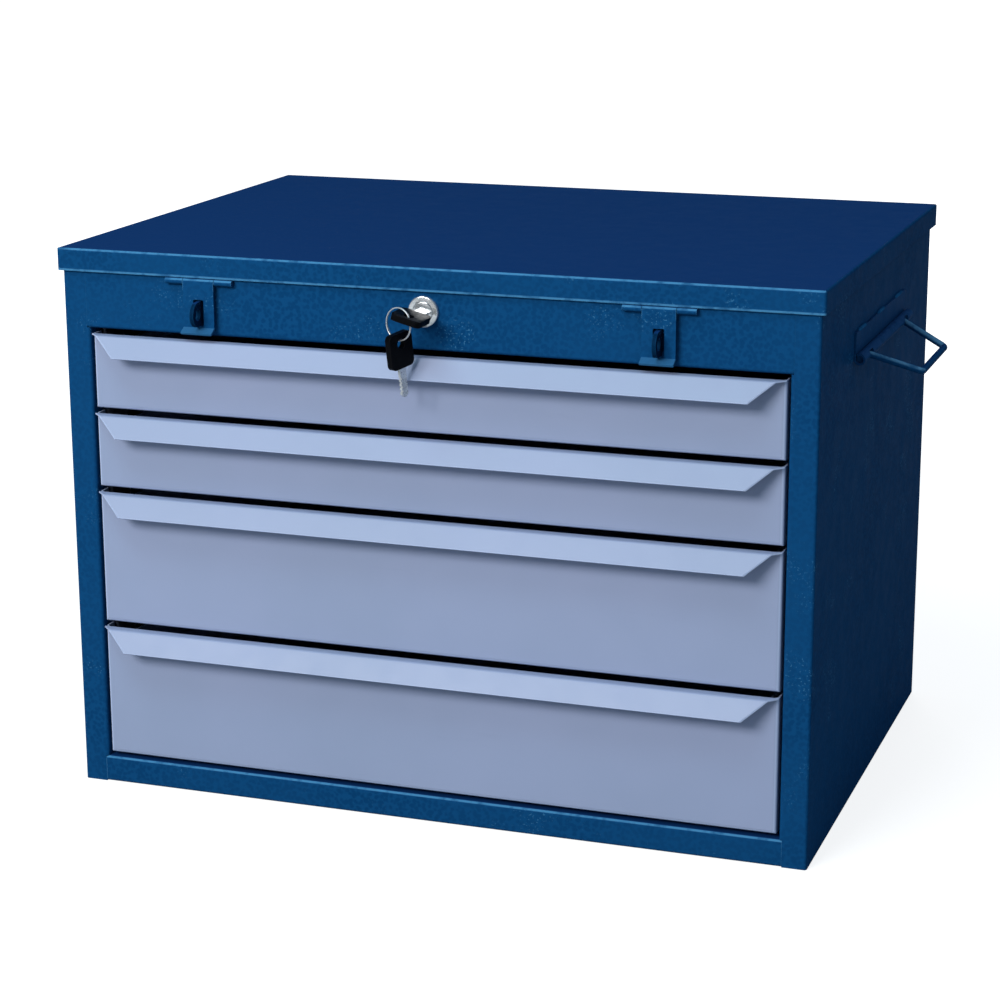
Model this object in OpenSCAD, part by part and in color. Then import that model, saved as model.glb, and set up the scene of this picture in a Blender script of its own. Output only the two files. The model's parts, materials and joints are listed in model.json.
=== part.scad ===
// Portable tool box with four drawers, a lidded top compartment, two hasps, a cam lock and bail handles.
// The origin is the centre of the underside, +Z is up and the drawers open toward -Y.

/* [Cabinet] */
// Width over the side panels
body_w = 560; // [440:5:700]
// Depth from the front plane to the back panel
body_d = 400; // [380:5:520]
// Thickness of the cabinet sheet
sheet = 1.2; // [0.8:0.1:1.6]
// Inside radius of the folds in the cabinet and the drawers
fold_r = 1; // [0.6:0.1:1.6]
// Width of the frame beside the drawers
stile_w = 20; // [18:1:30]
// Depth of the fold behind the stiles and the rails
return_d = 15; // [10:1:17]
// Height of the rail below the drawers
rail_h = 20; // [16:1:40]
// Height of the band above the drawers
band_h = 56.8; // [54:0.2:80]
// Width of the flange round the rim of the compartment
rim_flange = 10; // [6:1:12]

/* [Drawers] */
// Height of each of the two upper drawer fronts
small_front_h = 55.7; // [50:0.1:90]
// Height of each of the two lower drawer fronts
large_front_h = 100.4; // [70:0.1:140]
// Gap between the fronts, and between them and the frame
front_gap = 3.7; // [2:0.1:6]
// Gap between a front and the stile at each side
front_side_gap = 2.3; // [1.5:0.1:4]
// Thickness of the drawer sheet
drawer_sheet = 1; // [0.7:0.1:1.2]
// Depth of the fold round a front
front_return = 12; // [8:1:13]
// Inside radius of the folds round a front
front_fold_r = 2; // [1:0.5:3]
// Reach of the level part of a pull
pull_flat = 8; // [6:0.1:12]
// Reach of a whole pull in front of the cabinet
pull_reach = 17.5; // [15:0.5:28]
// Drop of the sloping part of a pull
pull_drop = 14; // [10:0.5:18]
// Length of a drawer box from front to back
box_l = 370; // [300:5:370]
// How far a drawer opens
travel = 300; // [120:5:300]

/* [Rails and runners] */
// Space between a drawer box and the posts at each side
slide_space = 12.7; // [11.5:0.1:16]
// Outside height of a fixed rail
rail_outer_h = 24; // [22:0.5:30]
// Space between rail and runner above and below
glide_space = 1.8; // [1.4:0.1:2.4]
// Running clearance of the glides
glide_clearance = 0.3; // [0.2:0.05:0.5]
// Length of a glide
glide_l = 20; // [12:1:30]
// Width of a post
post_w = 30; // [20:1:40]
// Radius of a rail screw
screw_r = 2; // [1.5:0.1:2.5]

/* [Lid] */
// Thickness of the lid sheet
lid_sheet = 1; // [0.8:0.1:1.2]
// Height of the skirt round the lid
skirt_h = 16.6; // [14:0.2:24]
// How far the lid stands out at each side
lid_side = 3.1; // [2:0.1:6]
// How far the lid stands out at the front
lid_front = 2.5; // [2.4:0.1:4]
// How far the lid stands out at the back, round the hinges
lid_rear = 10.5; // [10:0.1:14]
// Gap between the closed lid and the rim
lid_seat = 0.3; // [0.2:0.1:1]
// Outside radius of the lid's edges
lid_edge_r = 2; // [1.4:0.1:4]

/* [Hinges] */
// Distance of each hinge from the middle
hinge_x = 170; // [110:5:200]
// Width of a hinge
hinge_w = 60; // [40:2:90]
// Thickness of the hinge leaves
hinge_leaf = 1.5; // [1:0.1:1.6]
// Height of the leaf on the back panel
hinge_leaf_h = 34; // [28:1:50]
// Radius of a hinge pin
hinge_pin_r = 2.5; // [1.5:0.1:3]
// Height of the hinge axis above the lower edge of the skirt
hinge_up = 1.9; // [1.5:0.1:1.9]

/* [Hasps] */
// Distance of each hasp from the middle
hasp_x = 170; // [80:5:200]
// Width over the knuckles of a hasp
hasp_w = 52; // [44:1:70]
// Width of a strap
strap_w = 24; // [20:1:30]
// Thickness of a strap
strap_t = 1.6; // [1.2:0.1:1.8]
// Length of the flared lip of a strap
lip_l = 7; // [5:0.5:11]
// Angle of the lip below the horizontal
lip_slope = 28; // [20:1:45]
// Radius of a hasp knuckle
knuckle_r = 2.2; // [2:0.1:2.4]
// Radius of a hasp pin
hasp_pin_r = 1.2; // [1:0.1:1.3]
// Thickness of a staple plate
staple_t = 3; // [2:0.5:4]
// Height of a staple plate
staple_h = 17.8; // [16:0.2:18]
// Radius of the padlock hole in a staple
padlock_r = 4; // [3:0.25:4]
// Height of the staples above the opening for the drawers
staple_up = 16.3; // [15:0.1:17]

/* [Lock and keys] */
// Height of the lock above the opening for the drawers
lock_up = 27.3; // [26:0.1:30]
// Radius of the lock's face
lock_face_r = 11; // [10:0.5:12]
// Radius of the lock's barrel
lock_barrel_r = 9; // [8.5:0.1:9.2]
// Length of the barrel behind the front plane
lock_barrel_l = 19.5; // [15:0.5:24]
// Radius of the plug that turns in the lock
plug_r = 6; // [5.5:0.1:6.2]
// Reach of the cam from the lock's axis
cam_reach = 22; // [21:0.5:24]
// Width of a key's head
key_w = 22; // [20:0.5:24]
// Length of a key's head
key_l = 25; // [23:0.5:28]
// Thickness of a key's head
key_t = 4.5; // [3.5:0.1:5]
// Radius of the hole in a key's head
key_hole_r = 3.75; // [3.5:0.05:4]
// Middle radius of the key ring
ring_r = 11; // [10.6:0.1:12]
// Radius of the ring's wire
ring_wire_r = 0.8; // [0.6:0.1:0.9]
// Turn of the ring from straight ahead of the lock
ring_turn = 112; // [100:1:120]
// Tilt of the key in the lock at rest
key_tilt = 15; // [0:1:16]
// Tilt of the hanging key at rest
spare_tilt = 8; // [0:1:8]

/* [Handles] */
// Height of the handles' axis above the opening for the drawers
handle_down = 9.7; // [5:0.1:30]
// Length of a handle plate
handle_l = 182; // [160:2:220]
// Thickness of a handle plate
handle_sheet = 1.5; // [1:0.1:2]
// Height of a handle plate above its axis
handle_plate_h = 19; // [12:1:25]
// Radius of the rod of a bail
rod_r = 2.5; // [2:0.1:3.5]
// Distance between the roots of a bail
bail_root = 132; // [110:1:140]
// Length of the grip
bail_grip = 92; // [84:1:105]
// Reach of a bail from its axis
bail_reach = 39.5; // [34:0.5:60]
// Angle of the bails below the horizontal
bail_droop = 22; // [0:1:60]
// Radius of the bends in a bail
bend_r = 5; // [4:0.5:6]

/* [Hidden] */
$fn = 48;

blue = [0.07, 0.29, 0.47];
grey = [0.60, 0.65, 0.74];
zinc = [0.72, 0.73, 0.74];
chrome = [0.85, 0.86, 0.88];
nylon = [0.90, 0.89, 0.84];
black = [0.06, 0.06, 0.07];

// Clearances shared by many pieces
running = 0.05;
free_gap = 0.3;
cut = 1;

// Cabinet
front_y = -body_d / 2;
back_y = body_d / 2;
side_x = body_w / 2;
inner_x = side_x - sheet;
open_x = side_x - stile_w;
fold_out = fold_r + sheet;
welding_flange = 12;
corner_relief = 14;

// Drawers, counted from the top
drawer_h = [small_front_h, small_front_h, large_front_h, large_front_h];
function heights_below(i) = i > 3 ? 0 : drawer_h[i] + front_gap + heights_below(i + 1);
function front_z(i) = rail_h + front_gap + heights_below(i + 1);
function front_top(i) = front_z(i) + drawer_h[i];
open_top = front_top(0) + front_gap;
rim_z = open_top + band_h;
front_x = open_x - front_side_gap;
box_x = open_x - slide_space;
box_up = 2.5;
box_below_top = 10;
hem_h = 8;
box_y = front_y + drawer_sheet;
function box_z(i) = front_z(i) + box_up;
function box_h(i) = drawer_h[i] - box_up - box_below_top;

// Rails and runners
rail_front = front_y + return_d + 5;
rail_back = box_y + box_l + 1;
runner_h = rail_outer_h - 2 * (sheet + glide_space);
runner_front = rail_front - 4;
runner_back = box_y + box_l - glide_l / 4;
runner_reach = slide_space - sheet - 3;
slide_up = 20;
function slide_z(i) = box_z(i) + slide_up;
shoe_front = rail_front + glide_l + 5 + travel;
front_post_y = rail_front + 4;
rear_post_y = rail_back - 22 - post_w;
post_z = welding_flange + 0.5;
screw_head_r = 4;
screw_head_h = 2.4;
screw_l = 7;

// Lid
lid_under = rim_z + lid_seat;
lid_top = lid_under + lid_sheet;
skirt_z = lid_top - skirt_h;
lid_x = side_x + lid_side;
lid_y0 = front_y - lid_front;
lid_y1 = back_y + lid_rear;

// Hinges
rear_gap = lid_rear - lid_sheet;
hinge_y = back_y + rear_gap / 2;
hinge_z = skirt_z + hinge_up;
hinge_knuckle_r = rear_gap / 2 - 0.4;
hinge_third = hinge_w / 3;
rivet_r = 2;
rivet_places = [-hinge_w / 3, 0, hinge_w / 3];
rivet_z = hinge_z - hinge_leaf_h * 0.7;
rivet_head_r = 3.6;
rivet_head_h = 1.4;

// Hasps
hasp_leaf = 1;
hasp_leaf_y = lid_y0 + lid_sheet + hasp_leaf / 2;
hasp_y = hasp_leaf_y + hasp_leaf / 2 - knuckle_r;
hasp_z = skirt_z - free_gap - knuckle_r;
strap_y = hasp_y - knuckle_r + strap_t / 2;
staple_z = open_top + staple_up;
slot_play = 1.1;
slot_w = 8;
slot_low = staple_z - staple_h / 2 - slot_play;
slot_high = staple_z + staple_h / 2 + slot_play;
staple_out = 8;
padlock_out = strap_y - strap_t / 2 - 0.4 - padlock_r;

// Lock
lock_z = open_top + lock_up;
lock_bezel = 2.6;
lock_flat = 16;
plug_head_r = 7.2;
plug_head = 2.2;
plug_front = lock_bezel + 0.6;
cam_t = 2.5;
cam_w = 13;
cam_boss = 7;
cam_gap = 0.3;
cam_front = lock_barrel_l + cam_gap;
plug_recess = plug_head - (plug_front - lock_bezel) + free_gap;
nut_r = 12.7;
nut_h = 5;
cam_screw_r = 1.9;
cam_screw_l = 5.5;
cam_head_r = 5;
cam_head_h = 2.4;
keyway_w = 8.6;
keyway_t = 2.2;
blade_w = 8.2;
blade_t = 1.8;
blade_in = 15;
key_out = 12.8;
tang = 9;
key_hole_in = 7.75;
key_corner = 4;
spare_blade = 21;
key_start = key_l - key_hole_in - tang;
key_end = key_l - key_hole_in + key_out - plug_front + blade_in;
spare_end = key_l - key_hole_in + spare_blade;
keeper_w = 11.5;
keeper_x = 21.3;
keeper_y = front_y + cam_front + cam_t + 1 + sheet / 2;
keeper_lip = 9;
keeper_z = lock_z - cam_w / 2 - 0.8 - sheet / 2;

// Key ring: it hangs on the bridge between the head's hole and its raised side.
// Points in the ring's plane are measured from the hole's centre, along the ring and up.
key_hole_y = front_y - key_out - key_l + key_hole_in;
ring_inner = ring_r - ring_wire_r;
hole_reach = key_hole_r / norm([sin(ring_turn) / cos(key_tilt), cos(ring_turn)]);
head_rise = key_t / 2 * cos(key_tilt) + free_gap;
head_lean = key_t / 2 * sin(key_tilt) / sin(ring_turn);
side_reach = (key_w / 2 * cos(key_tilt) + ring_wire_r * abs(cos(ring_turn))) / sin(ring_turn);
bridge_start = [hole_reach - head_lean - free_gap, hole_reach * sin(ring_turn) * tan(key_tilt) + head_rise];
bridge_end = [side_reach - head_lean + free_gap, key_w / 2 * sin(key_tilt) + head_rise];
bridge = bridge_end - bridge_start;
ring_drop = sqrt(ring_inner * ring_inner - bridge * bridge / 4);
ring_centre = (bridge_start + bridge_end) / 2 + [bridge.y, -bridge.x] * ring_drop / norm(bridge);
ring_x = -ring_centre.x * sin(ring_turn);
ring_y = key_hole_y - ring_centre.x * cos(ring_turn);
ring_z = lock_z + ring_centre.y;
spare_hang = 0.45;
spare_hole_z = ring_z - ring_inner + spare_hang - key_hole_r;

// Handles
handle_z = open_top - handle_down;
handle_bore_r = rod_r + 0.1;
handle_barrel_r = handle_bore_r + handle_sheet;
handle_x = side_x + handle_barrel_r;
roll_gap = 0.6;
stub_end = handle_l / 2 - 2;
notch_in = 6;
notch_out = 6.5;
notch_top = rod_r + free_gap;

// ---------- folded sheet ----------

function trim(path, i, r) = i == 0 || i == len(path) - 1 ? 0 : r * tan(abs(bend_angle(path, i)) / 2);

function bend_angle(path, i) =
    let(a = path[i] - path[i - 1], b = path[i + 1] - path[i]) atan2(a.x * b.y - a.y * b.x, a * b);
function lap(path, i) = i == 0 || i == len(path) - 1 ? 0 : bend_angle(path, i) % 90 == 0 ? 0 : 0.1;
function stretch(path, i, r) = norm(path[i + 1] - path[i]) - trim(path, i, r) - trim(path, i + 1, r);

// Section of a sheet of thickness t folded along a centre line, with inside radius r
module folded(path, t, r = fold_r) {
    start = path[1] - path[0];
    translate(path[0])
        rotate(atan2(start.y, start.x))
            strip(path, 0, t, r + t / 2);
}

// Straight stretch i of a folded sheet, then the fold at its end and the rest of the sheet.
// At folds that aren't square, the stretches end inside a fold that is a hair thicker.
module strip(path, i, t, r) {
    length = stretch(path, i, r);
    translate([-lap(path, i), -t / 2])
        square([length + lap(path, i) + lap(path, i + 1), t]);
    if (i < len(path) - 2) {
        angle = bend_angle(path, i + 1);
        side = sign(angle) * r;
        thick = t / 2 + lap(path, i + 1) / 10;
        translate([length, side]) {
            intersection() {
                difference() {
                    circle(r + thick);
                    circle(r - thick);
                }
                translate([0, -3 * r])
                    square([3 * r, 6 * r]);
                rotate(angle)
                    translate([-3 * r, -3 * r])
                        square([3 * r, 6 * r]);
            }
            rotate(angle)
                translate([0, -side])
                    strip(path, i + 1, t, r);
        }
    }
}

// Extrudes a (y, z) section along X, centred on x
module along_x(length, x = 0) {
    translate([x, 0, 0])
        rotate([90, 0, 90])
            linear_extrude(height = length, center = true)
                children();
}

// Extrudes an (x, z) section from y0 to y1
module along_y(y0, y1) {
    translate([0, y1, 0])
        rotate([90, 0, 0])
            linear_extrude(height = y1 - y0)
                children();
}

// Rectangle from a to b with a radius at the corners listed as [0 or 1, 0 or 1]
module soft_rect(a, b, r, corners) {
    difference() {
        translate(a)
            square(b - a);
        for (c = corners) {
            sign_x = 1 - 2 * c.x;
            sign_y = 1 - 2 * c.y;
            corner = [c.x == 0 ? a.x : b.x, c.y == 0 ? a.y : b.y];
            translate(corner)
                difference() {
                    translate([(sign_x - 1) / 2 * r, (sign_y - 1) / 2 * r])
                        square(r);
                    translate([sign_x * r, sign_y * r])
                        circle(r);
                }
        }
    }
}

// Draws a shape and its mirror image on the left
module both_sides() {
    children();
    mirror([1, 0, 0])
        children();
}

module right_or_left(side) {
    if (side > 0)
        children();
    else
        mirror([1, 0, 0])
            children();
}

// ---------- cabinet ----------

// Side panel with its stile, folded from one sheet
module side_panel(side) {
    fold_z = rim_z - fold_out - 2;
    rim_y0 = front_y + return_d;
    rim_y1 = back_y - rim_flange - cut;
    color(blue)
        right_or_left(side) {
            difference() {
                linear_extrude(height = rim_z)
                    folded([[open_x + sheet / 2, front_y + return_d], [open_x + sheet / 2, front_y + sheet / 2],
                        [side_x - sheet / 2, front_y + sheet / 2], [side_x - sheet / 2, back_y]], sheet);
                translate([inner_x - cut, rim_y0, fold_z])
                    cube([sheet + 2 * cut, rim_y1 - rim_y0, rim_z]);
                for (z = [[-cut, rail_h], [open_top, rim_z + cut]])
                    translate([open_x - cut, front_y - cut, z[0]])
                        cube([fold_out + cut, return_d + 2 * cut, z[1] - z[0]]);
            }
            along_y(rim_y0, rim_y1)
                folded([[side_x - sheet / 2, fold_z], [side_x - sheet / 2, rim_z - sheet / 2],
                    [side_x - rim_flange, rim_z - sheet / 2]], sheet);
        }
}

// Back panel, with welding flanges down both sides and a flange round the rim
module back_panel() {
    x = inner_x - sheet / 2;
    fold_z = rim_z - fold_out - 2;
    color(blue) {
        difference() {
            linear_extrude(height = fold_z)
                folded([[-x, back_y - welding_flange], [-x, back_y - sheet / 2], [x, back_y - sheet / 2],
                    [x, back_y - welding_flange]], sheet);
            both_sides() {
                translate([inner_x - fold_out - cut, back_y - welding_flange - cut, -cut])
                    cube([fold_out + 2 * cut, welding_flange + cut - sheet, corner_relief + cut]);
                for (x = rivet_places)
                    translate([hinge_x + x, back_y - sheet - cut, rivet_z])
                        rotate([-90, 0, 0])
                            cylinder(r = rivet_r + running, h = sheet + 2 * cut);
            }
        }
        along_x(2 * inner_x)
            folded([[back_y - sheet / 2, fold_z], [back_y - sheet / 2, rim_z - sheet / 2],
                [back_y - rim_flange, rim_z - sheet / 2]], sheet);
    }
}

// Wings of a floor behind the stiles, with flanges welded to the side panels
module floor_wings(z, t, flange, y0) {
    edge_x = inner_x - t / 2;
    both_sides() {
        along_y(y0, back_y - corner_relief)
            folded([[open_x - return_d, z + t / 2], [edge_x, z + t / 2], [edge_x, z + flange]], t);
        translate([open_x - return_d, back_y - corner_relief, z])
            cube([inner_x - sheet - free_gap - open_x + return_d, corner_relief - sheet - t, t]);
    }
}

// Base with the bottom rail folded up at its front
module base_panel() {
    color(blue) {
        along_x(2 * (open_x + fold_out))
            folded([[back_y - sheet * 1.5, welding_flange], [back_y - sheet * 1.5, sheet / 2],
                [front_y + sheet / 2, sheet / 2], [front_y + sheet / 2, rail_h - sheet / 2],
                [front_y + return_d, rail_h - sheet / 2]], sheet);
        floor_wings(0, sheet, welding_flange, front_y + return_d + free_gap);
    }
}

// Band above the drawers, between the stiles, with the lock's hole
module front_band() {
    color(blue)
        difference() {
            along_x(2 * (open_x + fold_out))
                folded([[front_y + return_d, open_top + sheet / 2], [front_y + sheet / 2, open_top + sheet / 2],
                    [front_y + sheet / 2, rim_z - sheet / 2], [front_y + rim_flange, rim_z - sheet / 2]], sheet);
            translate([0, front_y + sheet + cut, lock_z])
                rotate([90, 0, 0])
                    linear_extrude(height = sheet + 2 * cut)
                        double_d(lock_barrel_r + 0.2, lock_flat + 0.4);
        }
}

// Floor of the top compartment
module compartment_floor() {
    t = sheet;
    z = open_top + sheet;
    front = front_y + sheet + free_gap + t / 2;
    color(blue) {
        along_x(2 * (open_x - free_gap))
            folded([[front, z + welding_flange], [front, z + t / 2], [back_y - sheet - t / 2, z + t / 2],
                [back_y - sheet - t / 2, z + welding_flange]], t);
        floor_wings(z, t, welding_flange, front_y + return_d + free_gap);
    }
}

// Top-hat posts that carry the rails at both sides
module posts(y) {
    crown_x = open_x + sheet / 2;
    foot_x = inner_x - sheet / 2;
    foot = 12;
    color(zinc)
        both_sides()
            difference() {
                translate([0, 0, post_z])
                    linear_extrude(height = open_top + sheet - post_z)
                        folded([[foot_x, y - foot], [foot_x, y], [crown_x, y], [crown_x, y + post_w],
                            [foot_x, y + post_w], [foot_x, y + post_w + foot]], sheet);
                for (i = [0:3])
                    translate([open_x - cut, y + post_w / 2, slide_z(i)])
                        rotate([0, 90, 0])
                            cylinder(r = screw_r + 0.1, h = sheet + 2 * cut);
            }
}

// ---------- rails and runners ----------

// The two fixed rails of drawer i, open toward the drawer
module rails(i) {
    z = rail_outer_h / 2 - sheet / 2;
    color(zinc)
        both_sides()
            difference() {
                along_y(rail_front, rail_back)
                    folded([[box_x + 2.5, slide_z(i) + z], [open_x - sheet / 2, slide_z(i) + z],
                        [open_x - sheet / 2, slide_z(i) - z], [box_x + 2.5, slide_z(i) - z]], sheet);
                for (y = [front_post_y, rear_post_y])
                    translate([open_x - sheet - cut, y + post_w / 2, slide_z(i)])
                        rotate([0, 90, 0])
                            cylinder(r = screw_r + 0.1, h = sheet + 2 * cut);
            }
}

// Pan-head screws that hold the rails to the posts
module rail_screws() {
    color(zinc)
        both_sides()
            for (i = [0:3], y = [front_post_y, rear_post_y])
                translate([open_x - sheet, y + post_w / 2, slide_z(i)])
                    rotate([0, 90, 0]) {
                        cylinder(r = screw_r, h = screw_l);
                        mirror([0, 0, 1])
                            rotate_extrude()
                                soft_rect([0, 0], [screw_head_r, screw_head_h], 1.2, [[1, 1]]);
                    }
}

// Nylon glides in the front ends of the rails, which the runners slide on
module rail_glides() {
    floor_z = rail_outer_h / 2 - sheet;
    glide_z = runner_h / 2 + glide_clearance;
    x0 = box_x + 2.5;
    x1 = open_x - sheet - fold_r;
    color(nylon)
        both_sides()
            for (i = [0:3])
                translate([(x0 + x1) / 2, 0, slide_z(i)])
                    along_x(x1 - x0) {
                        translate([rail_front, -floor_z])
                            square([glide_l, floor_z - glide_z]);
                        translate([rail_front - 1.5, -rail_outer_h / 2])
                            square([1.5, rail_outer_h / 2 - glide_z]);
                    }
}

// The two runners of drawer i, welded to its box and open toward the rails
module runners(i) {
    z = runner_h / 2 - sheet / 2;
    color(zinc)
        both_sides()
            along_y(runner_front, runner_back)
                folded([[box_x + runner_reach, slide_z(i) + z], [box_x + sheet / 2, slide_z(i) + z],
                    [box_x + sheet / 2, slide_z(i) - z], [box_x + runner_reach, slide_z(i) - z]], sheet);
}

// Nylon shoes on the back ends of the runners, which hold the drawer level and stop it
module shoes(i) {
    top = rail_outer_h / 2 - sheet - glide_clearance;
    grip = sheet + 0.2;
    shoe_x0 = box_x + sheet + fold_r;
    shoe_x1 = open_x - sheet - screw_head_h - 0.4;
    color(nylon)
        both_sides()
            translate([(shoe_x0 + shoe_x1) / 2, 0, slide_z(i)])
                along_x(shoe_x1 - shoe_x0)
                    difference() {
                        translate([shoe_front, -top])
                            square([runner_back + 4 - shoe_front, 2 * top]);
                        for (s = [-1, 1])
                            translate([shoe_front - cut, s * (runner_h / 2 - sheet / 2) - grip / 2])
                                square([runner_back - shoe_front + cut + 0.1, grip]);
                    }
}

// ---------- drawers ----------

// Front of drawer i: a shallow pan with the pull folded out of its top edge.
// The pull is cut at 45 degrees across its level part and across its sloping part.
module drawer_front(i) {
    z0 = front_z(i);
    z1 = front_top(i);
    t = drawer_sheet;
    pan_top = z1 - 4;
    leg_low = z1 - 8;
    relief = 0.6;
    pull_start = 1.5;
    leg_x = front_x - front_fold_r - t;
    kink_x = front_x - pull_flat + pull_start;
    slope_l = norm([pull_reach - pull_flat, pull_drop]);
    tip = pull_reach + t;
    tip_x = kink_x - (tip - pull_flat) * slope_l / (pull_reach - pull_flat);
    color(grey) {
        difference() {
            front_block(z0, z1 - free_gap, 0, front_fold_r + t);
            front_block(z0, z1 + cut, t, front_fold_r);
            translate([-leg_x, front_y - cut, pan_top])
                cube([2 * leg_x, t + 2 * cut, z1]);
        }
        intersection() {
            along_x(2 * front_x)
                folded([[front_y - pull_reach, z1 - t / 2 - pull_drop], [front_y - pull_flat, z1 - t / 2],
                    [front_y + t / 2, z1 - t / 2], [front_y + t / 2, leg_low]], t);
            translate([0, 0, z0])
                linear_extrude(height = z1 - z0 + cut)
                    both_sides()
                        polygon([[0, front_y + t + cut], [leg_x, front_y + t + cut], [leg_x, front_y - relief],
                            [front_x, front_y - relief], [front_x, front_y - pull_start],
                            [kink_x, front_y - pull_flat], [tip_x, front_y - tip], [0, front_y - tip]]);
        }
    }
}

// Block with the outline of a drawer front, smaller by inset, with round folded edges
module front_block(z0, z1, inset, r) {
    x = front_x - inset;
    y0 = front_y + inset;
    y1 = front_y + front_return + (inset > 0 ? cut : 0);
    intersection() {
        translate([0, 0, z0 + inset])
            linear_extrude(height = z1 - z0 - inset)
                soft_rect([-x, y0], [x, y1], r, [[0, 0], [1, 0]]);
        along_x(2 * front_x)
            soft_rect([y0, z0 + inset], [y1, z1], r, [[0, 0]]);
    }
}

// Box of drawer i, folded from one sheet, with hems along its rim
module drawer_box(i) {
    z = box_z(i);
    h = box_h(i);
    t = drawer_sheet;
    color(grey) {
        difference() {
            box_block(z, z + h, 0, fold_r + t);
            box_block(z, z + h + cut, t, fold_r);
        }
        both_sides()
            translate([box_x - 2 * t, box_y + t, z + h - hem_h])
                cube([t, box_l - 2 * t, hem_h]);
        translate([-box_x + t, box_y + box_l - 2 * t, z + h - hem_h])
            cube([2 * (box_x - t), t, hem_h]);
    }
}

// Block with the outline of a drawer box, smaller by inset, with round lower edges
module box_block(z0, z1, inset, r) {
    x = box_x - inset;
    y0 = box_y + inset;
    y1 = box_y + box_l - inset;
    intersection() {
        along_y(y0, y1)
            soft_rect([-x, z0 + inset], [x, z1], r, [[0, 0], [1, 0]]);
        along_x(2 * x)
            soft_rect([y0, z0 + inset], [y1, z1], r, [[0, 0], [1, 0]]);
    }
}

// ---------- lid ----------

// Block with the outline of the lid, smaller by inset, with round upper edges and corners
module lid_block(inset, r) {
    x = lid_x - inset;
    y0 = lid_y0 + inset;
    y1 = lid_y1 - inset;
    z0 = skirt_z - (inset > 0 ? cut : 0);
    z1 = lid_top - inset;
    intersection() {
        along_y(y0, y1)
            soft_rect([-x, z0], [x, z1], r, [[0, 1], [1, 1]]);
        along_x(2 * x)
            soft_rect([y0, z0], [y1, z1], r, [[0, 1], [1, 1]]);
        translate([0, 0, z0])
            linear_extrude(height = z1 - z0)
                soft_rect([-x, y0], [x, y1], r, [[0, 0], [1, 0], [0, 1], [1, 1]]);
    }
}

module lid_shell() {
    color(blue)
        difference() {
            lid_block(0, lid_edge_r);
            lid_block(lid_sheet, lid_edge_r - lid_sheet);
        }
}

// Hook under the lid that the cam turns into
module lid_keeper() {
    color(zinc)
        along_x(keeper_w, keeper_x)
            folded([[keeper_y + 14, lid_under - sheet / 2], [keeper_y, lid_under - sheet / 2],
                [keeper_y, keeper_z], [keeper_y - keeper_lip, keeper_z]], sheet);
}

// ---------- hinges ----------

// Leaf on the back panel, with the two outer knuckles
module hinge_leaf(side) {
    low = hinge_z - hinge_leaf_h;
    color(blue)
        right_or_left(side)
            difference() {
                union() {
                    translate([hinge_x - hinge_w / 2, back_y, low])
                        cube([hinge_w, hinge_leaf, hinge_leaf_h]);
                    translate([hinge_x, hinge_y, hinge_z])
                        rotate([0, 90, 0])
                            cylinder(r = hinge_knuckle_r, h = hinge_w, center = true);
                }
                translate([hinge_x, hinge_y, hinge_z])
                    rotate([0, 90, 0])
                        cylinder(r = hinge_pin_r + running, h = hinge_w + cut, center = true);
                translate([hinge_x - hinge_third / 2 - free_gap, back_y - cut, hinge_z - rear_gap / 2])
                    cube([hinge_third + 2 * free_gap, rear_gap + cut, rear_gap]);
                for (x = rivet_places)
                    translate([hinge_x + x, back_y - cut, rivet_z])
                        rotate([-90, 0, 0])
                            cylinder(r = rivet_r + running, h = hinge_leaf + 2 * cut);
            }
}

// Leaf on the inside of the lid's skirt, with the middle knuckle
module lid_leaf(side) {
    plate_y = lid_y1 - lid_sheet - hinge_leaf;
    plate_low = hinge_z + rear_gap / 2;
    plate_high = lid_under - cut;
    color(blue)
        right_or_left(side)
            difference() {
                union() {
                    translate([hinge_x - hinge_w / 2, plate_y, plate_low])
                        cube([hinge_w, hinge_leaf, plate_high - plate_low]);
                    translate([hinge_x - hinge_third / 2, plate_y, hinge_z])
                        cube([hinge_third, hinge_leaf, plate_low - hinge_z + cut]);
                    translate([hinge_x, hinge_y, hinge_z])
                        rotate([0, 90, 0])
                            cylinder(r = hinge_knuckle_r, h = hinge_third, center = true);
                }
                translate([hinge_x, hinge_y, hinge_z])
                    rotate([0, 90, 0])
                        cylinder(r = hinge_pin_r + running, h = hinge_w + cut, center = true);
            }
}

module hinge_pins() {
    color(zinc)
        both_sides()
            translate([hinge_x, hinge_y, hinge_z])
                rotate([0, 90, 0])
                    cylinder(r = hinge_pin_r, h = hinge_w, center = true);
}

// Rivets through the leaves and the back panel
module hinge_rivets() {
    grip = hinge_leaf + sheet;
    color(zinc)
        both_sides()
            for (x = rivet_places)
                translate([hinge_x + x, back_y - sheet, rivet_z])
                    rotate([-90, 0, 0]) {
                        cylinder(r = rivet_r, h = grip);
                        translate([0, 0, grip])
                            rotate_extrude()
                                soft_rect([0, 0], [rivet_head_r, rivet_head_h], 1, [[1, 1]]);
                        mirror([0, 0, 1])
                            rotate_extrude()
                                soft_rect([0, 0], [rivet_head_r, rivet_head_h], 1, [[1, 1]]);
                    }
}

// ---------- hasps ----------

// Leaf behind the lid's skirt, with the two outer knuckles
module hasp_leaf(side) {
    high = lid_under - 2;
    color(blue)
        right_or_left(side)
            difference() {
                union() {
                    translate([hasp_x - hasp_w / 2, hasp_leaf_y - hasp_leaf / 2, hasp_z])
                        cube([hasp_w, hasp_leaf, high - hasp_z]);
                    translate([hasp_x, hasp_y, hasp_z])
                        rotate([0, 90, 0])
                            cylinder(r = knuckle_r, h = hasp_w, center = true);
                }
                translate([hasp_x - strap_w / 2 - free_gap, hasp_y - knuckle_r - cut, hasp_z - knuckle_r - cut])
                    cube([strap_w + 2 * free_gap, 2 * knuckle_r + 2 * cut, 2 * knuckle_r + free_gap + cut]);
                translate([hasp_x, hasp_y, hasp_z])
                    rotate([0, 90, 0])
                        cylinder(r = hasp_pin_r + running, h = hasp_w + cut, center = true);
            }
}

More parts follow.
